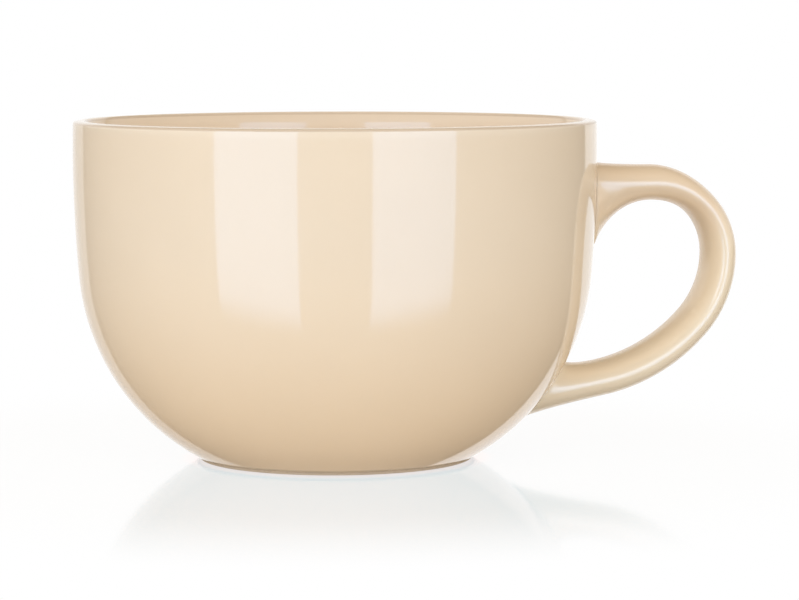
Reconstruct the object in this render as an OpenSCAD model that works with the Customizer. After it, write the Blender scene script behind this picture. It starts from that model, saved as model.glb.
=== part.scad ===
// Soup mug: a wide round-bellied ceramic mug with one loop handle.
// Millimetres. The origin is on the axis of the bowl at the face that the foot rests on,
// +Z goes up to the lip and +X goes out to the handle.
// The fired clay is two pieces, the bowl and the handle, joined by two beds of slip.
// Coats of glaze cover all of it but the foot ring. Nothing on a mug moves.

/* [Bowl] */
// Widest diameter of the glazed bowl
bowl_d = 130.6; // [118:0.2:144]
// Height of the crest of the lip above the table
bowl_h = 84.8; // [80:0.2:96]
// Thickness of the glazed side wall
wall_t = 4.2; // [3:0.1:6]
// Radius of the arc of the belly
belly_r = 57.5; // [54:0.5:62]
// Radius of the long arc that carries the side up to the lip
side_r = 360; // [200:5:600]
// Height at which the side stands upright
upright_h = 76.3; // [68:0.1:77]
// Lean of the side where its two arcs meet, in degrees
side_lean = 4.8; // [3.5:0.1:6.5]
// Height of the inside floor above the table
floor_h = 8.2; // [6:0.1:12]
// Radius of the round between the inside wall and the floor
floor_round_r = 25; // [15:0.5:32]

/* [Lip] */
// How much thinner the lip is than the side wall
lip_inset = 0.8; // [0.3:0.1:1]
// Radius of the arc that thins the wall up to the lip, on the inside
lip_ease_r = 13; // [9:0.5:20]
// Radius of the outer edge of the lip
lip_edge_r = 0.7; // [0.65:0.05:1]
// Radius of the inner edge of the lip
lip_inner_r = 1; // [0.7:0.1:1.2]
// Slope of the lip's crowned top at its outer edge, in degrees
lip_slope = 17; // [12:1:25]
// Slope of the lip's crowned top at its inner edge, in degrees
lip_inner_slope = 4; // [2:0.5:10]

/* [Foot] */
// Outer diameter of the foot ring
foot_d = 68.6; // [58:0.2:70]
// Width of the foot ring
foot_ring_w = 5; // [3:0.1:8]
// Height of the bare outer side of the foot ring
foot_h = 1.2; // [0.8:0.1:1.6]
// Rounding of the two edges that the mug stands on
foot_edge_r = 0.6; // [0.3:0.05:0.7]
// Depth of the recess inside the foot ring
recess_h = 2.6; // [2.2:0.1:3.4]
// Rounding where the foot ring meets the roof of the recess
recess_round_r = 1.4; // [0.8:0.1:1.4]

/* [Glaze] */
// Thickness of the coats of glaze
glaze_t = 0.35; // [0.2:0.05:0.6]

/* [Handle] */
// Drop from the crest of the lip to the middle of the handle's upper arm
arm_drop = 16.5; // [14:0.1:19]
// Length of the straight upper arm, from the widest part of the bowl
arm_l = 15.5; // [11:0.1:19]
// Radius of the handle's shoulder, which turns it from level to straight down
shoulder_r = 18.3; // [15:0.1:20]
// Radius of the outer side of the loop
loop_r = 26.2; // [24:0.1:30]
// Turn of the outer side of the loop, in degrees
loop_turn = 42; // [36:1:48]
// Radius of the long lower sweep back to the bowl
sweep_r = 44.4; // [38:0.1:48]
// Slope of the lower arm where it meets the bowl, in degrees
lower_slope = 10.9; // [6:0.1:14]
// Thickness of the glazed handle at its two roots, from its finger side to its outer side
handle_t = 9; // [8:0.1:11]
// Thickness in the middle of the shoulder
shoulder_t = 7.6; // [7:0.1:9]
// Thickness of the loop where it goes straight down
loop_t = 7.9; // [7:0.1:9]
// Width of the glazed handle from front to back
handle_w = 19; // [14:0.1:24]
// Swelling of the front and back towards either root
root_side_swell = 1.5; // [1:0.1:4]
// Swelling of the top of the upper arm towards its root
upper_top_swell = 1.2; // [0:0.1:2]
// Swelling of the underside of the upper arm into its long web
upper_web_swell = 18.6; // [10:0.1:20]
// Swelling of the top of the lower arm towards its root
lower_top_swell = 1.4; // [0:0.1:3]
// Swelling of the underside of the lower arm towards its root
lower_tail_swell = 1.6; // [0:0.1:3]
// Running gap between the handle's ends and the faces that they are bedded on
seat_gap = 0.03; // [0.02:0.01:0.06]

/* [Hidden] */

// Colours of the fired clay, the slip and the glaze
clay_colour = [0.80, 0.72, 0.62];
slip_colour = [0.86, 0.79, 0.70];
glaze_colour = [0.93, 0.83, 0.68];

// Facets round the axis of the bowl
round_fn = 180;
// Steps along each arc of the bowl's outline
lip_steps = 3;
side_steps = 5;
belly_steps = 10;
edge_steps = 3;

// Angle between two rings of the handle, in degrees
ring_step_angle = 6;
// Sides of the handle's section
ring_sides = 24;
// Steps of the flare at a root, and steps across its bedded end
flare_steps = 6;
bed_steps = 4;
// Angle of the flare's arc, in degrees, which ends short of a right angle at a blunt edge
flare_angle = 69;
// Passes that find where a line of the handle meets the bowl
seat_passes = 7;

bowl_r = bowl_d / 2;
inner_side_r = side_r - wall_t;

// Centres of the arcs of the bowl's side, as [radius, height] in a plane through the axis.
// All faces of the wall are arcs about these same centres, so the wall is even.
side_c = [bowl_r - side_r, upright_h];
belly_c = side_c + (side_r - belly_r) * [cos(side_lean), -sin(side_lean)];

// The lip is a low crown between two edges. Each of its arcs touches the next one.
edge_turn = 90 - lip_slope;
inner_turn = 90 + lip_inner_slope;
crown_w = wall_t - lip_inset - lip_edge_r * (1 - cos(edge_turn)) - lip_inner_r * (1 + cos(inner_turn));
crown_r = crown_w / (cos(edge_turn) - cos(inner_turn));
edge_h = bowl_h - crown_r + (crown_r - lip_edge_r) * sin(edge_turn);
edge_lean = asin((edge_h - upright_h) / (side_r - lip_edge_r));
edge_c = side_c + (side_r - lip_edge_r) * [cos(edge_lean), sin(edge_lean)];
crown_c = edge_c - (crown_r - lip_edge_r) * [cos(edge_turn), sin(edge_turn)];
inner_c = crown_c + (crown_r - lip_inner_r) * [cos(inner_turn), sin(inner_turn)];

// The arc that thins the wall touches the inner edge of the lip and the inside of the wall
ease_reach = inner_side_r + lip_ease_r;
ease_lean = bearing(side_c, inner_c)
    - acos((pow(ease_reach, 2) + pow(norm(inner_c - side_c), 2) - pow(lip_ease_r - lip_inner_r, 2))
           / (2 * ease_reach * norm(inner_c - side_c)));
ease_c = side_c + ease_reach * [cos(ease_lean), sin(ease_lean)];
ease_turn = bearing(ease_c, inner_c);

// The round inside the bowl touches the arc of the belly and the floor
inner_belly_r = belly_r - wall_t;
floor_round_z = floor_h + floor_round_r;
floor_round_x = belly_c.x + sqrt(pow(inner_belly_r - floor_round_r, 2) - pow(belly_c.y - floor_round_z, 2));
floor_round_c = [floor_round_x, floor_round_z];
floor_round_start = atan2(belly_c.y - floor_round_z, floor_round_x - belly_c.x);

foot_r = foot_d / 2;
foot_inner_r = foot_r - foot_ring_w;

// The arc of the belly ends where the bare foot begins. Where the belly would be narrower
// there than the foot ring, it ends higher up, at the ring's own outer side.
belly_clay_r = belly_r - glaze_t;
belly_end = min(asin((belly_c.y - foot_h) / belly_clay_r), acos((foot_r - belly_c.x) / belly_clay_r));

recess_c = [foot_inner_r - recess_round_r, recess_h - recess_round_r];

// Direction of the way from point a to point b, in degrees
function bearing(a, b) = atan2(b.y - a.y, b.x - a.x);

// Points of an arc about c from angle a0 to a1, leaving out the first "skip" of them
function arc(c, r, a0, a1, n, skip = 0) =
    [for (i = [skip:n]) let (a = a0 + (a1 - a0) * i / n) c + r * [cos(a), sin(a)]];

function reversed(p) = [for (i = [len(p) - 1:-1:0]) p[i]];

// Outline of the bowl's outside from the crest of the lip down to the foot,
// at a depth below the face of the glaze
function outside(depth) = concat(
    arc(crown_c, crown_r - depth, 90, edge_turn, lip_steps),
    arc(edge_c, lip_edge_r - depth, edge_turn, edge_lean, lip_steps, 1),
    arc(side_c, side_r - depth, edge_lean, -side_lean, side_steps, 1),
    arc(belly_c, belly_r - depth, -side_lean, -belly_end, belly_steps, 1));

// Outline of the bowl's inside from the crest of the lip down to the axis,
// at a depth below the face of the glaze
function inside(depth) = concat(
    arc(crown_c, crown_r - depth, 90, inner_turn, lip_steps),
    arc(inner_c, lip_inner_r - depth, inner_turn, ease_turn, lip_steps, 1),
    arc(ease_c, lip_ease_r - depth, ease_turn, 180 + ease_lean, lip_steps, 1),
    arc(side_c, inner_side_r + depth, ease_lean, -side_lean, side_steps, 1),
    arc(belly_c, inner_belly_r + depth, -side_lean, -floor_round_start, belly_steps, 1),
    arc(floor_round_c, floor_round_r + depth, -floor_round_start, -90, belly_steps, 1),
    [[0, floor_h - depth]]);

// Outline of the recess inside the foot ring, from the ring's inner side to the axis
function recess(depth) = concat(
    arc(recess_c, recess_round_r - depth, 0, 90, edge_steps),
    [[0, recess_h - depth]]);

// Outline of the foot ring, from its outer side round to its inner side
foot_ring = concat(
    [[foot_r, foot_h]],
    arc([foot_r - foot_edge_r, foot_edge_r], foot_edge_r, 0, -90, edge_steps),
    arc([foot_inner_r + foot_edge_r, foot_edge_r], foot_edge_r, -90, -180, edge_steps));

// Radius of the glazed outside at each height, as [height, radius] from the foot up
seat_table = [for (p = reversed(outside(0))) [p.y, p.x]];

// The handle's middle line is three arcs. A heading of 0 goes out level from the bowl,
// 90 goes straight down and 180 goes back level.
arm_h = bowl_h - arm_drop;
loop_end = 90 + loop_turn;
last_heading = 180 - lower_slope;
shoulder_c = [bowl_r + arm_l, arm_h - shoulder_r];
loop_c = shoulder_c + (shoulder_r - loop_r) * outward(90);
sweep_c = loop_c + (loop_r - sweep_r) * outward(loop_end);

// Direction in the plane of the loop that points away from its middle
function outward(heading) = [sin(heading), cos(heading)];

// Point of the middle line where it has a given heading
function middle(heading) =
    heading <= 90 ? shoulder_c + shoulder_r * outward(heading)
    : heading <= loop_end ? loop_c + loop_r * outward(heading)
    : sweep_c + sweep_r * outward(heading);

// Smooth step from 0 to 1
function eased(t) = let (u = min(max(t, 0), 1)) u * u * (3 - 2 * u);

// Half of the handle's thickness, which eases from each of these places to the next
function half_thickness(heading) = (
    heading <= 45 ? handle_t + (shoulder_t - handle_t) * eased(heading / 45)
    : heading <= 90 ? shoulder_t + (loop_t - shoulder_t) * eased((heading - 45) / 45)
    : loop_t + (handle_t - loop_t) * eased((heading - 90) / (last_heading - 90))) / 2;

// Point of the handle's skin at a heading, an angle round the section and a depth
function skin_point(heading, angle, depth) =
    let (m = middle(heading), o = outward(heading),
         across = (half_thickness(heading) - depth) * sin(angle))
    [m.x + across * o.x, (handle_w / 2 - depth) * cos(angle), m.y + across * o.y];

// Swelling at an angle round the section: [outer side, front and back, finger side]
function swell(amounts, angle) =
    let (s = sin(angle), share = s * s)
    amounts[1] * (1 - share) + (s > 0 ? amounts[0] : amounts[2]) * share;

// X of the bowl's glazed face on the line through [x0, z0] with a slope, at a distance y from the middle
function seat_x(y, x0, z0, slope, x, passes) =
    passes == 0 ? x
    : let (r = lookup(z0 + slope * (x - x0), seat_table))
      seat_x(y, x0, z0, slope, sqrt(r * r - y * y), passes - 1);

// Point of a root's flare. The turn goes from 0 at the last plain ring to flare_angle at
// the blunt edge, and "lift" is the point's distance from the bowl's face, or undef for the flare's own.
function flare_point(heading, amounts, angle, depth, turn, lift) =
    let (v = skin_point(heading, angle, depth), o = outward(heading), slope = -tan(heading),
         grow = swell(amounts, angle) * (1 - cos(turn)),
         plain_x = seat_x(v.y, v.x, v.z, slope, bowl_r, seat_passes),
         y = v.y + grow * cos(angle),
         x0 = v.x + grow * sin(angle) * o.x,
         z0 = v.z + grow * sin(angle) * o.y,
         foot_x = seat_x(y, x0, z0, slope, bowl_r, seat_passes),
         x = foot_x + (is_undef(lift) ? (v.x - plain_x) * (1 - sin(turn)) : lift))
    [x, y, z0 + slope * (x - x0)];

function ring_angle(i) = 360 * i / ring_sides;

// Rings of a root from the bowl outwards, the first of them bedded on the bowl's glazed face
function root_rings(heading, amounts, depth) = concat(
    [[for (i = [0:ring_sides - 1])
        flare_point(heading, amounts, ring_angle(i), depth, flare_angle, seat_gap)]],
    [for (k = [flare_steps:-1:1])
        [for (i = [0:ring_sides - 1])
            flare_point(heading, amounts, ring_angle(i), depth, flare_angle * k / flare_steps)]]);

upper_amounts = [upper_top_swell, root_side_swell, upper_web_swell];
lower_amounts = [lower_tail_swell, root_side_swell, lower_top_swell];

// All rings of the handle's skin at a depth, from the upper root to the lower one
function skin_rings(depth) = concat(
    root_rings(0, upper_amounts, depth),
    [for (k = [0:round(last_heading / ring_step_angle)])
        [for (i = [0:ring_sides - 1])
            skin_point(last_heading * k / round(last_heading / ring_step_angle), ring_angle(i), depth)]],
    reversed(root_rings(last_heading, lower_amounts, depth)));

// Middle of a ring's outline, as [y, z]
function ring_middle(ring) = let (n = len(ring))
    [0, ([for (p = ring) 1] * [for (p = ring) p.z]) / n];

// Ring drawn in towards its middle by a share and laid on the bowl's glazed face
function bed_ring(ring, share) = let (c = ring_middle(ring))
    [for (p = ring) let (y = p.y * share, z = c.y + (p.z - c.y) * share)
        [sqrt(pow(lookup(z, seat_table), 2) - y * y) + seat_gap, y, z]];

// Rings that close a bedded end, from next to its middle to just inside the ring
function bed(ring) = [for (k = [1:bed_steps - 1]) bed_ring(ring, k / bed_steps)];

// Faces between ring number a and ring number b, which have n points each
function band(a, b, n) = [for (i = [0:n - 1], f = [0, 1]) let (j = (i + 1) % n)
    f == 0 ? [a * n + i, a * n + j, b * n + j] : [a * n + i, b * n + j, b * n + i]];

clay_rings = skin_rings(glaze_t);
glaze_rings = skin_rings(0);

// Closed solid through rings, with a point in the middle of each end
module capped_tube(rings, first_tip, last_tip) {
    n = len(rings[0]);
    m = len(rings);
    points = concat([for (ring = rings, p = ring) p], [first_tip, last_tip]);
    sides = [for (k = [0:m - 2], f = band(k, k + 1, n)) f];
    first_end = [for (i = [0:n - 1]) [m * n, (i + 1) % n, i]];
    last_end = [for (i = [0:n - 1]) [m * n + 1, (m - 1) * n + i, (m - 1) * n + (i + 1) % n]];
    polyhedron(points = points, faces = concat(sides, first_end, last_end));
}

// Closed solid through rings that come back to the first one
module looped_tube(rings) {
    n = len(rings[0]);
    m = len(rings);
    points = [for (ring = rings, p = ring) p];
    polyhedron(points = points, faces = [for (k = [0:m - 1], f = band(k, (k + 1) % m, n)) f]);
}

// Prism along X with the outline of the handle's bedded end
module root_prism(ring) {
    rotate([90, 0, 90]) linear_extrude(height = bowl_r + wall_t)
        polygon([for (p = ring) [p.y, p.z]]);
}

// Coat between the bowl's clay and the face of its glaze
module outside_coat() {
    rotate_extrude($fn = round_fn) polygon(concat(outside(0), reversed(outside(glaze_t))));
}

// Clay of the bowl with its foot ring
module bowl() {
    color(clay_colour) rotate_extrude($fn = round_fn)
        polygon(concat(reversed(outside(glaze_t)), slice(inside(glaze_t), 1),
                       reversed(recess(0)), reversed(foot_ring)));
}

function slice(p, from) = [for (i = [from:len(p) - 1]) p[i]];

// Clay of the handle
module handle() {
    first = clay_rings[0];
    last = clay_rings[len(clay_rings) - 1];
    color(clay_colour)
        capped_tube(concat(bed(first), clay_rings, reversed(bed(last))),
                    bed_ring(first, 0)[0], bed_ring(last, 0)[0]);
}

// Slip that beds the handle's upper end on the bowl
module upper_slip_joint() {
    color(slip_colour) intersection() {
        outside_coat();
        root_prism(clay_rings[0]);
    }
}

// Slip that beds the handle's lower end on the bowl
module lower_slip_joint() {
    color(slip_colour) intersection() {
        outside_coat();
        root_prism(clay_rings[len(clay_rings) - 1]);
    }
}

// Glaze poured inside the bowl, up to the crest of the lip
module inner_glaze() {
    color(glaze_colour) rotate_extrude($fn = round_fn)
        polygon(concat(inside(0), reversed(inside(glaze_t))));
}

// Glaze on the outside of the bowl, open where the handle's ends are bedded
module outer_glaze() {
    color(glaze_colour) difference() {
        outside_coat();
        root_prism(clay_rings[0]);
        root_prism(clay_rings[len(clay_rings) - 1]);
    }
}

// Glaze round the handle
module handle_glaze() {
    color(glaze_colour) looped_tube(concat(glaze_rings, reversed(clay_rings)));
}

// Glaze in the recess inside the foot ring
module base_glaze() {
    color(glaze_colour) rotate_extrude($fn = round_fn)
        polygon(concat(recess(0), reversed(recess(glaze_t))));
}

bowl();
handle();
upper_slip_joint();
lower_slip_joint();
inner_glaze();
outer_glaze();
handle_glaze();
base_glaze();
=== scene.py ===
"""Looks of the soup mug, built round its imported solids.

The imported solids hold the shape. Each visible surface is worked out here again from the same
outline as one smooth closed piece: the bare clay, one unbroken coat of glaze over the bowl,
the glaze round the handle and the glaze in the foot's recess.
Metres, +Z up, the handle towards +X, the foot on z = 0.
"""
import math

import bpy
import numpy as np
from mathutils import Matrix


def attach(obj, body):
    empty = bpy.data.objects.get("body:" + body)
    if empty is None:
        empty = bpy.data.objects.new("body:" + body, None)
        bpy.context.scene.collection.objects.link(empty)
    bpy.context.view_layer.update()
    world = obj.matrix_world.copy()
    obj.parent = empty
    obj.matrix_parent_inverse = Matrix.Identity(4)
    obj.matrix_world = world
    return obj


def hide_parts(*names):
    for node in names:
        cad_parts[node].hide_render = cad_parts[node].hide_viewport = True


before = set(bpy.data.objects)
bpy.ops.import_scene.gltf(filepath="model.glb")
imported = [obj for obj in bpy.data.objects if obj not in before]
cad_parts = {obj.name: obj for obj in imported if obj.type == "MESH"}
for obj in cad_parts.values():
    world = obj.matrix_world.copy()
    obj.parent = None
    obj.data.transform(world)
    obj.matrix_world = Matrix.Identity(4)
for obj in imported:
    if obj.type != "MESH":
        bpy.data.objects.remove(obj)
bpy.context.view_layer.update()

MM = 0.001
TAU = 2 * math.pi

# Bowl
BOWL_R = 65.3 * MM
BOWL_H = 84.8 * MM
WALL_T = 4.2 * MM
BELLY_R = 57.5 * MM
SIDE_R = 360 * MM
UPRIGHT_H = 76.3 * MM
SIDE_LEAN = math.radians(4.8)
FLOOR_H = 8.2 * MM
FLOOR_ROUND_R = 25 * MM

# Lip: a low crown between an outer and an inner edge, and the arc that thins the wall up to it
LIP_INSET = 0.8 * MM
LIP_EASE_R = 13 * MM
LIP_EDGE_R = 0.7 * MM
LIP_INNER_R = 1 * MM
EDGE_TURN = math.radians(73)
INNER_TURN = math.radians(94)

# Foot
FOOT_R = 34.3 * MM
FOOT_RING_W = 5 * MM
FOOT_INNER_R = FOOT_R - FOOT_RING_W
FOOT_H = 1.2 * MM
FOOT_EDGE_R = 0.6 * MM
RECESS_H = 2.6 * MM
RECESS_ROUND_R = 1.4 * MM

GLAZE_T = 0.35 * MM

# Handle
ARM_H = BOWL_H - 16.5 * MM
ARM_L = 15.5 * MM
SHOULDER_R = 18.3 * MM
LOOP_R = 26.2 * MM
LOOP_END = math.radians(132)
SWEEP_R = 44.4 * MM
LAST_HEADING = math.radians(169.1)
# Thickness at the roots, in the middle of the shoulder and where the loop goes straight down
HANDLE_T = 9 * MM
SHOULDER_T = 7.6 * MM
LOOP_T = 7.9 * MM
HANDLE_W = 19 * MM
# Swelling at the roots, away from the loop's middle, front and back, and on the finger side
UPPER_SWELL = (1.2 * MM, 1.5 * MM, 18.6 * MM)
LOWER_SWELL = (1.6 * MM, 1.5 * MM, 3.4 * MM)
FLARE_TURN = math.radians(69)
# Reach of the glaze that fills the crease round a root, and how deep its edge is sunk
TOE_REACH = 0.8 * MM
TOE_SINK = 0.03 * MM

# Points round the bowl and round the handle's section
BOWL_SIDES = 300
HANDLE_SIDES = 96


def arc(centre, radius, start, end, steps, skip=0):
    """Points centre + radius (cos a, sin a) for a from start to end, without the first skip of them."""
    a = np.linspace(start, end, steps + 1)[skip:]
    return np.array(centre) + radius * np.stack([np.cos(a), np.sin(a)], -1)


def polar(radius, angle):
    """Vector radius (cos a, sin a)."""
    return radius * np.array([math.cos(angle), math.sin(angle)])


def bearing(start, end):
    """Direction of the way from a point to another."""
    return math.atan2(end[1] - start[1], end[0] - start[0])


side_c = np.array([BOWL_R - SIDE_R, UPRIGHT_H])
belly_c = side_c + polar(SIDE_R - BELLY_R, -SIDE_LEAN)
inner_side_r = SIDE_R - WALL_T
crown_w = (WALL_T - LIP_INSET - LIP_EDGE_R * (1 - math.cos(EDGE_TURN))
           - LIP_INNER_R * (1 + math.cos(INNER_TURN)))
crown_r = crown_w / (math.cos(EDGE_TURN) - math.cos(INNER_TURN))
edge_h = BOWL_H - crown_r + (crown_r - LIP_EDGE_R) * math.sin(EDGE_TURN)
edge_lean = math.asin((edge_h - UPRIGHT_H) / (SIDE_R - LIP_EDGE_R))
edge_c = side_c + polar(SIDE_R - LIP_EDGE_R, edge_lean)
crown_c = edge_c - polar(crown_r - LIP_EDGE_R, EDGE_TURN)
inner_c = crown_c + polar(crown_r - LIP_INNER_R, INNER_TURN)
ease_reach = inner_side_r + LIP_EASE_R
inner_far = np.linalg.norm(inner_c - side_c)
ease_lean = bearing(side_c, inner_c) - math.acos(
    (ease_reach ** 2 + inner_far ** 2 - (LIP_EASE_R - LIP_INNER_R) ** 2) / (2 * ease_reach * inner_far))
ease_c = side_c + polar(ease_reach, ease_lean)
ease_turn = bearing(ease_c, inner_c)
belly_end = math.asin((belly_c[1] - FOOT_H) / (BELLY_R - GLAZE_T))
belly_top_z = belly_c[1] - BELLY_R * math.sin(SIDE_LEAN)
inner_belly_r = BELLY_R - WALL_T
floor_round_z = FLOOR_H + FLOOR_ROUND_R
floor_round_x = belly_c[0] + math.sqrt(
    (inner_belly_r - FLOOR_ROUND_R) ** 2 - (belly_c[1] - floor_round_z) ** 2)
floor_round_start = math.atan2(belly_c[1] - floor_round_z, floor_round_x - belly_c[0])
recess_c = np.array([FOOT_INNER_R - RECESS_ROUND_R, RECESS_H - RECESS_ROUND_R])


def outside(depth, fine):
    """Outline of the bowl's outside, foot to crest: arcs that touch each other for the belly, the side,
    the lip's outer edge and half of its crown, drawn in by depth."""
    return np.concatenate([
        arc(belly_c, BELLY_R - depth, -belly_end, -SIDE_LEAN, 5 * fine),
        arc(side_c, SIDE_R - depth, -SIDE_LEAN, edge_lean, 2 * fine, 1),
        arc(edge_c, LIP_EDGE_R - depth, edge_lean, EDGE_TURN, fine, 1),
        arc(crown_c, crown_r - depth, EDGE_TURN, math.pi / 2, fine // 2, 1)])


def inside(depth, fine):
    """Outline of the bowl's inside, crest to axis: arcs for the rest of the crown, the lip's inner edge,
    the thinned wall, the side and the belly, then a round and the flat floor."""
    return np.concatenate([
        arc(crown_c, crown_r - depth, math.pi / 2, INNER_TURN, 2, 1),
        arc(inner_c, LIP_INNER_R - depth, INNER_TURN, ease_turn, fine, 1),
        arc(ease_c, LIP_EASE_R - depth, ease_turn, math.pi + ease_lean, fine, 1),
        arc(side_c, inner_side_r + depth, ease_lean, -SIDE_LEAN, 2 * fine, 1),
        arc(belly_c, inner_belly_r + depth, -SIDE_LEAN, -floor_round_start, 3 * fine, 1),
        arc([floor_round_x, floor_round_z], FLOOR_ROUND_R + depth,
            -floor_round_start, -math.pi / 2, 3 * fine, 1),
        np.stack([np.linspace(floor_round_x, 0, fine + 1)[1:], np.full(fine, FLOOR_H - depth)], -1)])


def recess(depth, fine):
    """Outline of the recess in the foot, ring to axis: a quarter round about recess_c and the flat roof."""
    return np.concatenate([
        arc(recess_c, RECESS_ROUND_R - depth, 0, math.pi / 2, fine),
        np.stack([np.linspace(recess_c[0], 0, fine + 1)[1:], np.full(fine, RECESS_H - depth)], -1)])


def bead(first, last, steps):
    """Half circle from point first to point last that bulges to the right of the way between them."""
    middle = (first + last) / 2
    start = math.atan2(first[1] - middle[1], first[0] - middle[0])
    return arc(middle, np.linalg.norm(first - middle), start, start - math.pi, steps, 1)[:-1]


def grid_faces(rows, columns):
    """Triangles between the neighbours of a grid of points that closes on itself both ways."""
    row, column = np.meshgrid(np.arange(rows), np.arange(columns), indexing="ij")
    below, beside = (row + 1) % rows, (column + 1) % columns
    a, b, c, d = (r * columns + s for r, s in (
        (row, column), (row, beside), (below, beside), (below, column)))
    return np.concatenate([np.stack(f, -1).reshape(-1, 3) for f in ((a, b, c), (a, c, d))])


def closed_piece(name, points, faces):
    """Object of points and triangles. Triangles with a repeated point are left out, and all are turned
    round if the volume, the sum of p0 . (p1 x p2) / 6, is negative, so that they face outwards."""
    faces = faces[(faces[:, 0] != faces[:, 1]) & (faces[:, 1] != faces[:, 2]) & (faces[:, 2] != faces[:, 0])]
    used = np.unique(faces)
    renumbered = np.zeros(len(points), int)
    renumbered[used] = np.arange(len(used))
    points, faces = points[used], renumbered[faces]
    corners = points[faces]
    volume = np.einsum("ij,ij->", corners[:, 0], np.cross(corners[:, 1], corners[:, 2])) / 6
    if volume < 0:
        faces = faces[:, ::-1]
    mesh = bpy.data.meshes.new(name)
    mesh.from_pydata(points.tolist(), [], faces.tolist())
    mesh.polygons.foreach_set("use_smooth", np.ones(len(faces), bool))
    mesh.update()
    piece = bpy.data.objects.new(name, mesh)
    bpy.context.scene.collection.objects.link(piece)
    return piece


def turned_piece(name, outline):
    """Closed outline of (r, z) turned about Z: (r cos a, r sin a, z). A point on the axis is one vertex."""
    r, z = outline.T
    a = TAU * np.arange(BOWL_SIDES) / BOWL_SIDES
    points = np.stack([np.outer(r, np.cos(a)), np.outer(r, np.sin(a)), np.outer(z, np.ones(BOWL_SIDES))], -1)
    faces = grid_faces(len(outline), BOWL_SIDES)
    on_axis = (r == 0)[faces // BOWL_SIDES]
    faces = np.where(on_axis, faces // BOWL_SIDES * BOWL_SIDES, faces)
    return closed_piece(name, points.reshape(-1, 3), faces)


def outward(heading):
    """Direction (sin h, cos h) in the loop's plane that points away from its middle."""
    return np.stack([np.sin(heading), np.cos(heading)], -1)


shoulder_c = np.array([BOWL_R + ARM_L, ARM_H - SHOULDER_R])
loop_c = shoulder_c + (SHOULDER_R - LOOP_R) * outward(math.pi / 2)
sweep_c = loop_c + (LOOP_R - SWEEP_R) * outward(LOOP_END)


def middle_line(heading):
    """Middle of the handle at a heading h: c + R outward(h) on three arcs that touch each other."""
    h = heading[..., None]
    centre = np.where(h <= math.pi / 2, shoulder_c, np.where(h <= LOOP_END, loop_c, sweep_c))
    radius = np.where(h <= math.pi / 2, SHOULDER_R, np.where(h <= LOOP_END, LOOP_R, SWEEP_R))
    return centre + radius * outward(heading)


def eased(u):
    """Smooth step 3 u^2 - 2 u^3 of u held between 0 and 1."""
    u = np.clip(u, 0, 1)
    return u * u * (3 - 2 * u)


def section_point(heading, angle, depth):
    """Skin of the handle: middle(h) + (t/2 - depth) sin a outward(h), and (w/2 - depth) cos a across.
    The thickness t eases between its values at a heading of 0, 45 and 90 degrees and at the last one."""
    shoulder, loop = math.pi / 4, math.pi / 2
    thickness = (HANDLE_T + (SHOULDER_T - HANDLE_T) * eased(heading / shoulder)
                 + (LOOP_T - SHOULDER_T) * eased((heading - shoulder) / (loop - shoulder))
                 + (HANDLE_T - LOOP_T) * eased((heading - loop) / (LAST_HEADING - loop)))
    across = (thickness / 2 - depth) * np.sin(angle)
    m = middle_line(heading) + across[..., None] * outward(heading)
    y = (HANDLE_W / 2 - depth) * np.cos(angle) * np.ones_like(across)
    return np.stack([m[..., 0], y, m[..., 1]], -1)


def bowl_face_r(z):
    """Radius of the bowl's glazed outside at height z, from the arc of the side or of the belly."""
    side = side_c[0] + np.sqrt(SIDE_R ** 2 - (z - side_c[1]) ** 2)
    belly = belly_c[0] + np.sqrt(np.maximum(BELLY_R ** 2 - (z - belly_c[1]) ** 2, 0))
    return np.where(z > belly_top_z, side, belly)


def seat_x(y, x0, z0, slope):
    """X where the line z = z0 + slope (x - x0) at a distance y from the middle meets the bowl,
    found by putting x = sqrt(r(z)^2 - y^2) into itself."""
    x = np.full_like(x0, BOWL_R)
    for _ in range(12):
        x = np.sqrt(bowl_face_r(z0 + slope * (x - x0)) ** 2 - y ** 2)
    return x


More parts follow.
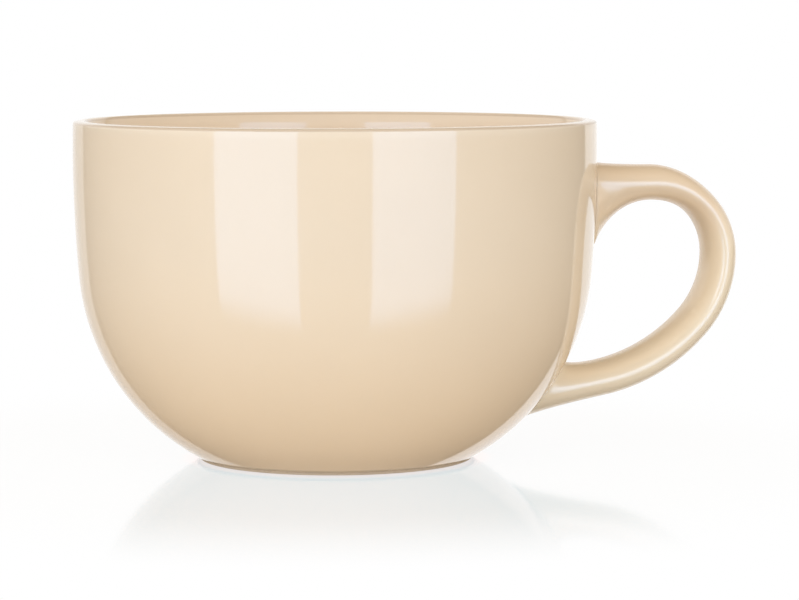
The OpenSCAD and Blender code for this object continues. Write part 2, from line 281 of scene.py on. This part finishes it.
def root_rings(heading, swelling, depth, fine, toe_steps):
    """Rings of a root, from the handle's last plain ring to the bowl.
    With D the plain ring's distance from the bowl and G the swelling at a section angle a, which is
    G = side cos^2 a + (outer or finger side) sin^2 a, the flare is at a distance D (1 - sin t) with
    a growth G (1 - cos t) for t from 0 to FLARE_TURN. The toe is a cubic Bezier curve that leaves
    along the flare and ends along the bowl's face, TOE_REACH further out."""
    angle = TAU * np.arange(HANDLE_SIDES) / HANDLE_SIDES
    plain = section_point(np.full_like(angle, heading), angle, depth)
    slope = -math.tan(heading)
    away = outward(heading)
    sine, cosine = np.sin(angle), np.cos(angle)
    full_growth = swelling[1] * cosine ** 2 + np.where(sine > 0, swelling[0], swelling[2]) * sine ** 2
    full_distance = plain[:, 0] - seat_x(plain[:, 1], plain[:, 0], plain[:, 2], slope)

    turn = np.linspace(0, FLARE_TURN, fine + 1)[1:, None]
    distance = full_distance * (1 - np.sin(turn))
    growth = full_growth * (1 - np.cos(turn))
    if toe_steps:
        way = np.stack([-full_distance * math.cos(FLARE_TURN), full_growth * math.sin(FLARE_TURN)])
        way = way / np.linalg.norm(way, axis=0)
        p0 = np.stack([distance[-1], growth[-1]])
        p1 = p0 + 0.4 * TOE_REACH * way
        p3 = np.stack([np.full_like(p0[0], -TOE_SINK), p0[1] + TOE_REACH])
        p2 = np.stack([np.zeros_like(p0[0]), p0[1] + 0.4 * TOE_REACH])
        s = np.linspace(0, 1, toe_steps + 1)[1:, None, None]
        toe = (1 - s) ** 3 * p0 + 3 * s * (1 - s) ** 2 * p1 + 3 * s ** 2 * (1 - s) * p2 + s ** 3 * p3
        distance = np.concatenate([distance, toe[:, 0]])
        growth = np.concatenate([growth, toe[:, 1]])
    y = plain[:, 1] + growth * cosine
    x0 = plain[:, 0] + growth * sine * away[0]
    z0 = plain[:, 2] + growth * sine * away[1]
    x = seat_x(y, x0, z0, slope) + distance
    return np.stack([x, y, z0 + slope * (x - x0)], -1)


def handle_rings(depth, plain_steps, flare_steps, toe_steps):
    """All rings of the handle's skin at a depth, from the upper root round the loop to the lower one."""
    heading = np.linspace(0, LAST_HEADING, plain_steps + 1)[:, None]
    angle = TAU * np.arange(HANDLE_SIDES)[None] / HANDLE_SIDES
    upper = root_rings(0.0, UPPER_SWELL, depth, flare_steps, toe_steps)
    lower = root_rings(LAST_HEADING, LOWER_SWELL, depth, flare_steps, toe_steps)
    return np.concatenate([upper[::-1], section_point(heading, angle, depth), lower])


def bowl_clay_piece():
    """Fired clay of the bowl: outside and inside under the glaze, the recess and the bare foot ring."""
    ring = np.concatenate([
        arc([FOOT_INNER_R + FOOT_EDGE_R, FOOT_EDGE_R], FOOT_EDGE_R, math.pi, 1.5 * math.pi, 8),
        arc([FOOT_R - FOOT_EDGE_R, FOOT_EDGE_R], FOOT_EDGE_R, 1.5 * math.pi, TAU, 8),
        [[FOOT_R, FOOT_H]]])
    outline = np.concatenate([outside(GLAZE_T, 12), inside(GLAZE_T, 12), recess(0, 8)[::-1], ring])
    return turned_piece("bowl_clay", outline)


def bowl_glaze_piece():
    """One coat of glaze from the foot over the lip to the floor, with a round bead at the foot."""
    face, back = (np.concatenate([outside(d, n), inside(d, n)]) for d, n in ((0, 10), (GLAZE_T, 5)))
    outline = np.concatenate([face, back[::-1], bead(back[0], face[0], 6)])
    return turned_piece("bowl_glaze", outline)


def base_glaze_piece():
    """Glaze on the roof and the round of the recess, with a round bead on the foot ring."""
    face, back = recess(GLAZE_T, 10), recess(0, 10)
    outline = np.concatenate([face, back[::-1], bead(back[0], face[0], 6)])
    return turned_piece("base_glaze_coat", outline)


def handle_glaze_piece():
    """Glaze round the handle: its face with the toes at both roots, and its back a coat's depth below."""
    face = handle_rings(0, 116, 22, 8)
    back = handle_rings(GLAZE_T, 58, 11, 0)
    rings = np.concatenate([face, back[::-1]])
    return closed_piece("handle_glaze_coat", rings.reshape(-1, 3), grid_faces(len(rings), HANDLE_SIDES))


def new_tree(tree, kind):
    """Empty node tree with its output node."""
    tree.nodes.clear()
    return tree.nodes.new(kind)


def add_node(tree, kind, inputs=None, **settings):
    """Node of a kind with its settings, and with its inputs linked to sockets or set to values."""
    node = tree.nodes.new(kind)
    for key, value in settings.items():
        setattr(node, key, value)
    for key, value in (inputs or {}).items():
        if isinstance(value, bpy.types.NodeSocket):
            tree.links.new(value, node.inputs[key])
        else:
            node.inputs[key].default_value = value
    return node


def math_node(tree, operation, a, b=0.0, c=0.0):
    """Result of a Math node."""
    return add_node(tree, "ShaderNodeMath", {0: a, 1: b, 2: c}, operation=operation).outputs[0]


def mix_colour(tree, share, a, b, blend="MIX"):
    """Colour that goes from a to b with the share."""
    node = add_node(tree, "ShaderNodeMix", {0: share, 6: a, 7: b}, data_type="RGBA", blend_type=blend)
    return node.outputs[2]


def ramp(tree, value, low, high, start=0.0, end=1.0):
    """Smooth step from start at low to end at high."""
    node = add_node(tree, "ShaderNodeMapRange", {
        "Value": value, "From Min": low, "From Max": high, "To Min": start, "To Max": end},
        interpolation_type="SMOOTHSTEP")
    return node.outputs[0]


def noise(tree, coords, scale, detail=2.0, rough=0.5):
    """Value of a Noise texture."""
    inputs = {"Vector": coords, "Scale": scale, "Detail": detail, "Roughness": rough}
    return add_node(tree, "ShaderNodeTexNoise", inputs).outputs[0]


def new_group(name, inputs, outputs):
    """Shader node group with named sockets: [(name, socket type, default)] in, [(name, type)] out."""
    group = bpy.data.node_groups.new(name, "ShaderNodeTree")
    for label, kind, default in inputs:
        socket = group.interface.new_socket(name=label, in_out="INPUT", socket_type=kind)
        socket.default_value = default
    for label, kind in outputs:
        group.interface.new_socket(name=label, in_out="OUTPUT", socket_type=kind)
    start = group.nodes.new("NodeGroupInput")
    end = group.nodes.new("NodeGroupOutput")
    return group, start.outputs, end.inputs


def mottle_group():
    """Faint unevenness of a fired colour: soft clouds and a fine grain, as a colour."""
    group, given, result = new_group(
        "fired_mottle",
        [("Colour", "NodeSocketColor", (0.8, 0.8, 0.8, 1)), ("Clouds", "NodeSocketFloat", 0.02),
         ("Grain", "NodeSocketFloat", 0.01), ("Grain Scale", "NodeSocketFloat", 900.0)],
        [("Colour", "NodeSocketColor")])
    coords = add_node(group, "ShaderNodeTexCoord").outputs["Object"]
    clouds = math_node(group, "SUBTRACT", noise(group, coords, 38.0, 3.0), 0.5)
    grain = math_node(group, "SUBTRACT", noise(group, coords, given["Grain Scale"], 2.0, 0.7), 0.5)
    level = math_node(group, "MULTIPLY_ADD", clouds, given["Clouds"], 1.0)
    level = math_node(group, "MULTIPLY_ADD", grain, given["Grain"], level)
    grey = add_node(group, "ShaderNodeCombineColor", {0: level, 1: level, 2: level}).outputs[0]
    group.links.new(mix_colour(group, 1.0, given["Colour"], grey, "MULTIPLY"), result["Colour"])
    return group


def glaze_surface_group():
    """Face of a fired glaze: the share that is a pinhole, the roughness and the height of its ripple."""
    group, given, result = new_group(
        "glaze_surface",
        [("Ripple", "NodeSocketFloat", 1.0), ("Smoothness", "NodeSocketFloat", 0.05),
         ("Pinholes", "NodeSocketFloat", 0.02)],
        [("Pinhole", "NodeSocketFloat"), ("Roughness", "NodeSocketFloat"), ("Height", "NodeSocketFloat")])
    coords = add_node(group, "ShaderNodeTexCoord").outputs["Object"]
    slow = noise(group, coords, 34.0, 1.0)
    fine = noise(group, coords, 260.0, 2.0)
    cells = add_node(group, "ShaderNodeTexVoronoi", {"Vector": coords, "Scale": 110.0}, feature="F1")
    near = math_node(group, "LESS_THAN", cells.outputs["Distance"], 0.035)
    chosen = add_node(group, "ShaderNodeSeparateColor", {0: cells.outputs["Color"]}).outputs[0]
    chosen = math_node(group, "LESS_THAN", chosen, given["Pinholes"])
    pinhole = math_node(group, "MULTIPLY", near, chosen)
    group.links.new(pinhole, result["Pinhole"])
    haze = math_node(group, "MULTIPLY_ADD", noise(group, coords, 55.0, 3.0), 0.03, given["Smoothness"])
    group.links.new(math_node(group, "MULTIPLY_ADD", pinhole, 0.3, haze), result["Roughness"])
    height = math_node(group, "MULTIPLY_ADD", fine, 0.05, slow)
    height = math_node(group, "MULTIPLY", height, given["Ripple"])
    group.links.new(math_node(group, "MULTIPLY_ADD", pinhole, -0.6, height), result["Height"])
    return group


mottle = mottle_group()
glaze_surface = glaze_surface_group()


def new_material(name):
    """Material with an empty tree: (material, tree, output node)."""
    material = bpy.data.materials.new(name)
    material.use_nodes = True
    return material, material.node_tree, new_tree(material.node_tree, "ShaderNodeOutputMaterial")


# Glaze: how far below the crest it begins to thin, where a painted line of shade along the lip comes
# and goes there, how steeply down a face looks where its gloss can drop as painted shade, the colour
# of a pinhole, the index of refraction and the height of the ripple
GLAZE_THIN_REACH = 3.5 * MM
LIP_SHADE_IN = (BOWL_H - 0.9 * MM, BOWL_H - 0.6 * MM)
LIP_SHADE_OUT = (BOWL_H - 0.35 * MM, BOWL_H - 0.1 * MM)
FACING_DOWN = (-0.95, -0.7)
PINHOLE_COLOUR = (0.30, 0.20, 0.12, 1)
GLAZE_IOR = 1.5
RIPPLE_H = 0.06 * MM


def glaze_material(name, thin, body, deep, heights, ripple, smoothness, gloss, gloss_below):
    """Glossy cream glaze. It is thin and pale over the lip, with a fine painted line of shade along the
    edge, and its colour goes from body to deep between two heights: on the bowl a deeper glaze low down
    that is partly painted shade, on the handle a lighter colour low down that is painted light. Faces
    that look down can be less glossy, which paints shade on them."""
    material, tree, output = new_material(name)
    coords = add_node(tree, "ShaderNodeTexCoord").outputs["Object"]
    height = add_node(tree, "ShaderNodeSeparateXYZ", {0: coords}).outputs["Z"]
    # The colour low down is partly painted shade on the bowl and painted light on the handle
    colour = mix_colour(tree, ramp(tree, height, *heights), body, deep)
    colour = mix_colour(tree, ramp(tree, height, BOWL_H - GLAZE_THIN_REACH, BOWL_H), colour, thin)
    # Painted shade: a darker line along the lip's edge, where the lip turns up away from the light
    line = math_node(tree, "MULTIPLY", ramp(tree, height, *LIP_SHADE_IN),
                     ramp(tree, height, *LIP_SHADE_OUT, LIP_PAINTED_SHADE_SHARE, 0.0))
    colour = mix_colour(tree, line, colour, LIP_PAINTED_SHADE)
    fired = add_node(tree, "ShaderNodeGroup", node_tree=mottle)
    tree.links.new(colour, fired.inputs["Colour"])
    fired.inputs["Clouds"].default_value = 0.05
    fired.inputs["Grain"].default_value = 0.012
    surface = add_node(tree, "ShaderNodeGroup", node_tree=glaze_surface)
    surface.inputs["Ripple"].default_value = ripple
    surface.inputs["Smoothness"].default_value = smoothness
    facing = add_node(tree, "ShaderNodeNewGeometry").outputs["Normal"]
    facing = add_node(tree, "ShaderNodeSeparateXYZ", {0: facing}).outputs["Z"]
    # Painted shade: faces that look down get less gloss, so they mirror less light
    level = ramp(tree, facing, *FACING_DOWN, gloss_below, gloss)
    colour = mix_colour(tree, surface.outputs["Pinhole"], fired.outputs["Colour"], PINHOLE_COLOUR)
    bump = add_node(tree, "ShaderNodeBump", {
        "Strength": 1.0, "Distance": RIPPLE_H, "Height": surface.outputs["Height"]})
    shader = add_node(tree, "ShaderNodeBsdfPrincipled", {
        "Base Color": colour, "Roughness": surface.outputs["Roughness"], "IOR": GLAZE_IOR,
        "Specular IOR Level": level, "Normal": bump.outputs[0]})
    tree.links.new(shader.outputs[0], output.inputs["Surface"])
    return material


def clay_material(name, body, grit):
    """Bare fired clay or slip: matt, with fine grit and a dusty, slightly worn face."""
    material, tree, output = new_material(name)
    coords = add_node(tree, "ShaderNodeTexCoord").outputs["Object"]
    fired = add_node(tree, "ShaderNodeGroup", node_tree=mottle)
    fired.inputs["Colour"].default_value = body
    fired.inputs["Clouds"].default_value = 0.12
    fired.inputs["Grain"].default_value = 0.10
    specks = add_node(tree, "ShaderNodeTexVoronoi", {"Vector": coords, "Scale": 1400.0}, feature="F1")
    speck = math_node(tree, "LESS_THAN", specks.outputs["Distance"], 0.16)
    colour = mix_colour(tree, math_node(tree, "MULTIPLY", speck, 0.35), fired.outputs["Colour"], grit)
    rub = noise(tree, coords, 120.0, 3.0)
    roughness = math_node(tree, "MULTIPLY_ADD", rub, 0.2, 0.68)
    grain = noise(tree, coords, 2200.0, 3.0, 0.7)
    bump = add_node(tree, "ShaderNodeBump", {"Strength": 0.7, "Distance": 0.05 * MM, "Height": grain})
    shader = add_node(tree, "ShaderNodeBsdfPrincipled", {
        "Base Color": colour, "Roughness": roughness, "IOR": 1.45, "Normal": bump.outputs[0]})
    tree.links.new(shader.outputs[0], output.inputs["Surface"])
    return material


def dress(piece, material, slot=None, replaced=()):
    """Gives a piece its material, and where a slot name is given, hangs it under the root body and hides the
    solids it stands for.
    """
    piece.data.materials.clear()
    piece.data.materials.append(material)
    if slot:
        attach(piece, "root")
        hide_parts(*replaced)


# Colours of the glaze: over the lip, on the bowl high and low, the low one partly painted shade,
# on the handle a warmer copy high and a lighter one low, both painted light, and of the painted
# line of shade along the lip with its strength
GLAZE_THIN = (0.88, 0.77, 0.63, 1)
GLAZE_BODY = (0.885, 0.765, 0.615, 1)
# Deeper glaze low on the bowl, partly painted shade
GLAZE_DEEP_AND_SHADED = (0.885, 0.705, 0.50, 1)
# Painted light on the handle: a warmer copy of the same glaze for the warm light the bowl throws on it, and
# a lighter colour low down for the light from the table
HANDLE_PAINTED_WARM = (0.91, 0.745, 0.56, 1)
HANDLE_PAINTED_LIGHT_LOW = (1.0, 0.87, 0.675, 1)
# Painted shade along the lip's edge, and how strongly it is painted
LIP_PAINTED_SHADE = (0.66, 0.54, 0.43, 1)
LIP_PAINTED_SHADE_SHARE = 0.7
# Heights between which the colour changes low down: on the bowl it deepens, partly as painted shade, and on
# the handle it turns lighter as painted light
BOWL_DEEPENS = (0.75 * BOWL_H, 0.0)
HANDLE_PAINTED_LIGHT_HEIGHTS = (ARM_H - HANDLE_T / 2, 0.6 * BOWL_H)
# Colours of bare clay and slip, and of the grit in each
CLAY_COLOUR = (0.62, 0.50, 0.37, 1)
CLAY_GRIT = (0.30, 0.22, 0.15, 1)
SLIP_COLOUR = (0.70, 0.60, 0.47, 1)
SLIP_GRIT = (0.45, 0.36, 0.27, 1)

cream = glaze_material("cream_glaze", GLAZE_THIN, GLAZE_BODY, GLAZE_DEEP_AND_SHADED, BOWL_DEEPENS,
                       ripple=0.5, smoothness=0.05, gloss=0.5, gloss_below=0.5)
# The handle's glaze is a lit copy of the cream glaze, painted warmer and lighter low down
cream_handle_painted_light = glaze_material("cream_glaze_on_handle_painted_light", HANDLE_PAINTED_WARM, HANDLE_PAINTED_WARM, HANDLE_PAINTED_LIGHT_LOW, HANDLE_PAINTED_LIGHT_HEIGHTS,
                              ripple=0.5, smoothness=0.24, gloss=0.9, gloss_below=0.2)
clay = clay_material("fired_clay", CLAY_COLOUR, CLAY_GRIT)
slip = clay_material("fired_slip", SLIP_COLOUR, SLIP_GRIT)

dress(bowl_clay_piece(), clay, "clay", ["bowl"])
dress(bowl_glaze_piece(), cream, "glaze", ["inner_glaze", "outer_glaze"])
dress(base_glaze_piece(), cream, "glaze", ["base_glaze"])
dress(handle_glaze_piece(), cream_handle_painted_light, "glaze", ["handle_glaze"])
dress(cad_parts["handle"], clay)
dress(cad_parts["upper_slip_joint"], slip)
dress(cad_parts["lower_slip_joint"], slip)

# In the photo the handle points this far away from the camera. The mug stays with its handle on +X,
# and the camera, the lights and the room are laid out in the photo's frame and turned back by it.
HANDLE_AWAY = math.radians(10.5)
PHOTO_TO_MUG = Matrix.Rotation(-HANDLE_AWAY, 4, "Z")

# Camera, as fitted to the outline of the bowl, its lip and its foot
IMAGE_W = 799
SENSOR_W = 36.0
FOCAL_PX = 3248.1
CAMERA_AT = (16.17 * MM, -811.3 * MM, 111.93 * MM)
CAMERA_DOWN = math.radians(5.101)
CAMERA_YAW = math.radians(-0.012)
CAMERA_ROLL = math.radians(-0.082)

# Softboxes: azimuths from the camera's side, distance, width, lower and upper edge, their light,
# how gloss mirrors them, and how far the lamp that gloss mirrors stands before the other
SOFTBOX_AZIMUTHS = {"left": -31.5, "right": 33.7}
SOFTBOX_AWAY = 0.588
SOFTBOX_W = 0.365
SOFTBOX_BOTTOM = -0.36
SOFTBOX_TOP = 0.30
SOFTBOX_LIGHT = (1.02, 1.03, 1.04)
SOFTBOX_SEEN = (1.15, 2.1, 3.5)
SOFTBOX_STEP = 10 * MM
# Shares of its height between which a softbox fades in, as gloss mirrors it, and how much higher
# it fades at its outer edge than at its inner one
SOFTBOX_FADE = (0.10, 0.42)
SOFTBOX_SLANT = 0.17

# Room: its light, how that leans to the left, the front and up, its least light,
# the side that it is coolest on, its colour away from there, and its level in gloss
ROOM_LIGHT = 0.76
ROOM_LEAN = (-0.16, -0.34, 0.12)
ROOM_LEAST = 0.15
COOL_SIDE = (-0.3, -0.95, 0.0)
COOL_FADE = (-0.2, 0.8)
ROOM_WARM = (1.0, 0.83, 0.60, 1)
ROOM_SEEN = 0.10
ROOM_SEEN_FADE = (-0.1, 0.5)
# White walls in gloss, all round but behind the mug: their level, and the slopes up and away
# between which they fade in and out
WALLS_SEEN = 0.9
WALLS_FOOT = (0.0, 0.03)
WALLS_TOP = (0.36, 0.60)
WALLS_END = (0.70, 0.80)
# Backdrop in gloss: its level at the mug's left, further in and right at the outline, with the slopes
# away between which that changes, its level at the right, and the slopes across between left and right
BACKDROP_LEFT = (0.7, 0.95)
BACKDROP_LEFT_FADE = (0.85, 0.98)
BACKDROP_RIGHT = 1.15
BACKDROP_ACROSS = (-0.4, 0.3)
# Slopes away and up between which the backdrop begins and ends, and where it turns white above the table
BACKDROP_EDGE = (0.775, 0.80)
BACKDROP_TOP = (0.36, 0.46)
BACKDROP_FOOT = (-0.02, 0.02)

# Table as light falls on it and comes back: its colour, a darker one at the mug's right that paints
# shade into the light coming back there, and where that comes in, its glow beside the foot and elsewhere,
# and the distances between which the glow fades
TABLE_SIZE = 6.0
TABLE_DROP = 0.02 * MM
TABLE_COLOUR = (0.82, 0.82, 0.82, 1)
TABLE_RIGHT_PAINTED_SHADE = (0.68, 0.68, 0.68, 1)
TABLE_RIGHT_SHADE_FADE = (0.0, 0.12)
TABLE_ROUGHNESS = 0.3
TABLE_IOR = 1.45
FOOT_GLOW = 0.30
TABLE_GLOW = 0.08
GLOW_FADE = (FOOT_R - 3 * MM, FOOT_R + 9 * MM)
# Table as the camera sees it: the share of its white that takes shadow, the share that mirrors
# the mug, the mirror's blur, and the distances between which all this fades to plain white
SHADOW_SHARE = 0.05
MIRROR_SHARE = (0.38, 0.27, 0.23, 1)
MIRROR_BLUR = 0.07
TABLE_FADE = (0.09, 0.17)
# Fresnel values between which the mirror in the table comes in, as it is seen at a lower angle
MIRROR_GRAZING = (0.05, 0.34)
# Tint of the table's glow right beside the foot, painted into the contact shadow and the mirrored foot
# there, and how far it reaches
CONTACT_TINT = (1.12, 0.98, 0.955)
CONTACT_REACH = 6 * MM

WHITE = (1, 1, 1, 1)


def place_camera():
    """Camera that looks slightly down on the mug, along +Y of the photo's frame."""
    data = bpy.data.cameras.new("camera")
    data.sensor_width = SENSOR_W
    data.lens = FOCAL_PX * SENSOR_W / IMAGE_W
    camera = bpy.data.objects.new("camera", data)
    bpy.context.scene.collection.objects.link(camera)
    turn = (Matrix.Rotation(-CAMERA_YAW, 4, "Z") @ Matrix.Rotation(math.pi / 2 - CAMERA_DOWN, 4, "X")
            @ Matrix.Rotation(CAMERA_ROLL, 4, "Z"))
    camera.matrix_world = PHOTO_TO_MUG @ Matrix.Translation(CAMERA_AT) @ turn
    bpy.context.scene.camera = camera


def softbox(name, azimuth, light_colour, mirrored):
    """Tall upright softbox in front of the mug, at an azimuth from the camera's side, facing the axis.
    One lamp of a pair gives the light that falls on the mug, and one before it is what gloss mirrors.
    That one fades out towards its lower end, along a line that rises to its outer edge. The energy
    is the one at which a white lamp has a radiance of 1."""
    width, height = SOFTBOX_W, SOFTBOX_TOP - SOFTBOX_BOTTOM
    away = SOFTBOX_AWAY - SOFTBOX_STEP * mirrored
    data = bpy.data.lights.new(name, "AREA")
    data.shape = "RECTANGLE"
    data.size, data.size_y = width, height
    data.color = light_colour
    data.energy = width * height * math.pi
    light = bpy.data.objects.new(name, data)
    bpy.context.scene.collection.objects.link(light)
    a = math.radians(azimuth)
    place = Matrix.Translation((away * math.sin(a), -away * math.cos(a), SOFTBOX_BOTTOM + height / 2))
    turn = Matrix.Rotation(a, 4, "Z") @ Matrix.Rotation(math.pi / 2, 4, "X")
    light.matrix_world = PHOTO_TO_MUG @ place @ turn
    light.visible_camera = False
    light.visible_diffuse = not mirrored
    light.visible_glossy = mirrored
    if mirrored:
        data.use_nodes = True
        tree = data.node_tree
        output = new_tree(tree, "ShaderNodeOutputLight")
        on_lamp = add_node(tree, "ShaderNodeNewGeometry").outputs["Parametric"]
        on_lamp = add_node(tree, "ShaderNodeSeparateXYZ", {0: on_lamp}).outputs
        slant = math_node(tree, "MULTIPLY", math_node(tree, "SUBTRACT", on_lamp["X"], 0.5),
                          math.copysign(SOFTBOX_SLANT, azimuth))
        up = math_node(tree, "SUBTRACT", on_lamp["Y"], slant)
        glow = add_node(tree, "ShaderNodeEmission", {"Strength": ramp(tree, up, *SOFTBOX_FADE)})
        tree.links.new(glow.outputs[0], output.inputs["Surface"])


def in_photo_frame(tree, vector):
    """Vector turned from the mug's frame to the photo's."""
    inputs = {"Vector": vector, "Angle": HANDLE_AWAY}
    return add_node(tree, "ShaderNodeVectorRotate", inputs, rotation_type="Z_AXIS").outputs[0]


def dot(tree, a, b):
    """Dot product of two vectors."""
    return add_node(tree, "ShaderNodeVectorMath", {0: a, 1: b}, operation="DOT_PRODUCT").outputs["Value"]


def between(tree, share, a, b):
    """Value that goes from a to b with the share."""
    return add_node(tree, "ShaderNodeMapRange", {"Value": share, "To Min": a, "To Max": b}).outputs[0]


def studio_world():
    """White to the camera. As light it is soft and comes most from the front. Gloss sees a white
    backdrop behind the mug, up to a height, white walls low down elsewhere, and a dim room above."""
    world = bpy.data.worlds.new("studio")
    bpy.context.scene.world = world
    world.use_nodes = True
    tree = world.node_tree
    output = new_tree(tree, "ShaderNodeOutputWorld")
    way = in_photo_frame(tree, add_node(tree, "ShaderNodeTexCoord").outputs["Generated"])
    axis = add_node(tree, "ShaderNodeSeparateXYZ", {0: way}).outputs
    across, away, up = axis["X"], axis["Y"], axis["Z"]

    soft = math_node(tree, "ADD", dot(tree, way, ROOM_LEAN), ROOM_LIGHT)
    soft = math_node(tree, "MAXIMUM", soft, ROOM_LEAST)
    tint = mix_colour(tree, ramp(tree, dot(tree, way, COOL_SIDE), *COOL_FADE), ROOM_WARM, WHITE)

    room = ramp(tree, up, *ROOM_SEEN_FADE, ROOM_SEEN, 0.0)
    walls = math_node(tree, "MULTIPLY", ramp(tree, up, *WALLS_FOOT), ramp(tree, up, *WALLS_TOP, 1.0, 0.0))
    walls = math_node(tree, "MULTIPLY", walls, ramp(tree, away, *WALLS_END, 1.0, 0.0))
    room = between(tree, walls, room, WALLS_SEEN)
    left = ramp(tree, away, *BACKDROP_LEFT_FADE, *BACKDROP_LEFT)
    backdrop = ramp(tree, across, *BACKDROP_ACROSS, left, BACKDROP_RIGHT)
    backdrop = ramp(tree, up, *BACKDROP_FOOT, backdrop, 1.0)
    behind = math_node(tree, "MULTIPLY", ramp(tree, away, *BACKDROP_EDGE),
                       ramp(tree, up, *BACKDROP_TOP, 1.0, 0.0))
    mirrored = between(tree, behind, room, backdrop)

    seen = add_node(tree, "ShaderNodeLightPath").outputs
    light = add_node(tree, "ShaderNodeMix", {0: seen["Is Glossy Ray"], 2: soft, 3: mirrored})
    shown = add_node(tree, "ShaderNodeMix", {0: seen["Is Camera Ray"], 2: light.outputs[0], 3: 1.0})
    plain = math_node(tree, "MAXIMUM", seen["Is Glossy Ray"], seen["Is Camera Ray"])
    tint = mix_colour(tree, plain, tint, WHITE)
    background = add_node(tree, "ShaderNodeBackground", {"Color": tint, "Strength": shown.outputs[0]})
    tree.links.new(background.outputs[0], output.inputs["Surface"])


def plain_light(tree, colour):
    """Emission of strength 1 in a colour."""
    return add_node(tree, "ShaderNodeEmission", {"Color": colour, "Strength": 1.0}).outputs[0]


def add_shader(tree, a, b):
    """Sum of two shaders."""
    return add_node(tree, "ShaderNodeAddShader", {0: a, 1: b}).outputs[0]


def mix_shader(tree, share, a, b):
    """Shader that goes from a to b with the share."""
    return add_node(tree, "ShaderNodeMixShader", {0: share, 1: a, 2: b}).outputs[0]


def studio_floor():
    """Pale slightly glossy table. For the camera it mirrors the mug where it is seen at a low angle, and
    fades into the white background away from the mug. Gloss sees the room through it, and it isn't
    seen from below."""
    mesh = bpy.data.meshes.new("floor")
    corners = [(-1, -1), (1, -1), (1, 1), (-1, 1)]
    mesh.from_pydata([(x * TABLE_SIZE, y * TABLE_SIZE, -TABLE_DROP) for x, y in corners], [], [(0, 1, 2, 3)])
    floor = bpy.data.objects.new("floor", mesh)
    bpy.context.scene.collection.objects.link(floor)
    material, tree, output = new_material("table")
    coords = add_node(tree, "ShaderNodeTexCoord").outputs["Object"]
    away = add_node(tree, "ShaderNodeVectorMath", {0: coords}, operation="LENGTH").outputs["Value"]
    seen = add_node(tree, "ShaderNodeLightPath").outputs
    clear = add_node(tree, "ShaderNodeBsdfTransparent").outputs[0]

    across = add_node(tree, "ShaderNodeSeparateXYZ", {0: in_photo_frame(tree, coords)}).outputs["X"]
    # Painted shade: the table is darker at the mug's right, so less light comes back onto that side
    colour = mix_colour(tree, ramp(tree, across, *TABLE_RIGHT_SHADE_FADE), TABLE_COLOUR, TABLE_RIGHT_PAINTED_SHADE)
    lit = add_node(tree, "ShaderNodeBsdfPrincipled", {
        "Base Color": colour, "Roughness": TABLE_ROUGHNESS, "IOR": TABLE_IOR, "Emission Color": WHITE,
        "Emission Strength": ramp(tree, away, *GLOW_FADE, FOOT_GLOW, TABLE_GLOW)}).outputs[0]
    lit = mix_shader(tree, seen["Is Glossy Ray"], lit, clear)

    shade = add_node(tree, "ShaderNodeBsdfDiffuse", {"Color": (SHADOW_SHARE,) * 3 + (1,)}).outputs[0]
    matt = add_shader(tree, plain_light(tree, (1.0 - SHADOW_SHARE,) * 3 + (1,)), shade)
    rest = tuple(1.0 - SHADOW_SHARE - share for share in MIRROR_SHARE[:3]) + (1,)
    # Painted colour of the contact shadow: the glow beside the foot is tinted warmer
    near_foot = tuple(share * tint for share, tint in zip(rest, CONTACT_TINT)) + (1,)
    rest = mix_colour(tree, ramp(tree, away, FOOT_R, FOOT_R + CONTACT_REACH), near_foot, rest)
    inputs = {"Color": MIRROR_SHARE, "Roughness": MIRROR_BLUR}
    mirror = add_node(tree, "ShaderNodeBsdfAnisotropic", inputs).outputs[0]
    glossy = add_shader(tree, add_shader(tree, plain_light(tree, rest), shade), mirror)
    fresnel = add_node(tree, "ShaderNodeFresnel", {"IOR": TABLE_IOR}).outputs[0]
    shown = mix_shader(tree, ramp(tree, fresnel, *MIRROR_GRAZING), matt, glossy)
    shown = mix_shader(tree, ramp(tree, away, *TABLE_FADE), shown, plain_light(tree, WHITE))

    top = mix_shader(tree, seen["Is Camera Ray"], lit, shown)
    under = add_node(tree, "ShaderNodeNewGeometry").outputs["Backfacing"]
    tree.links.new(mix_shader(tree, under, top, clear), output.inputs["Surface"])
    mesh.materials.append(material)


place_camera()
for side, azimuth in SOFTBOX_AZIMUTHS.items():
    softbox("softbox_" + side, azimuth, SOFTBOX_LIGHT, False)
    softbox("softbox_in_gloss_" + side, azimuth, SOFTBOX_SEEN, True)
studio_world()
studio_floor()
bpy.context.scene.view_settings.view_transform = "Standard"
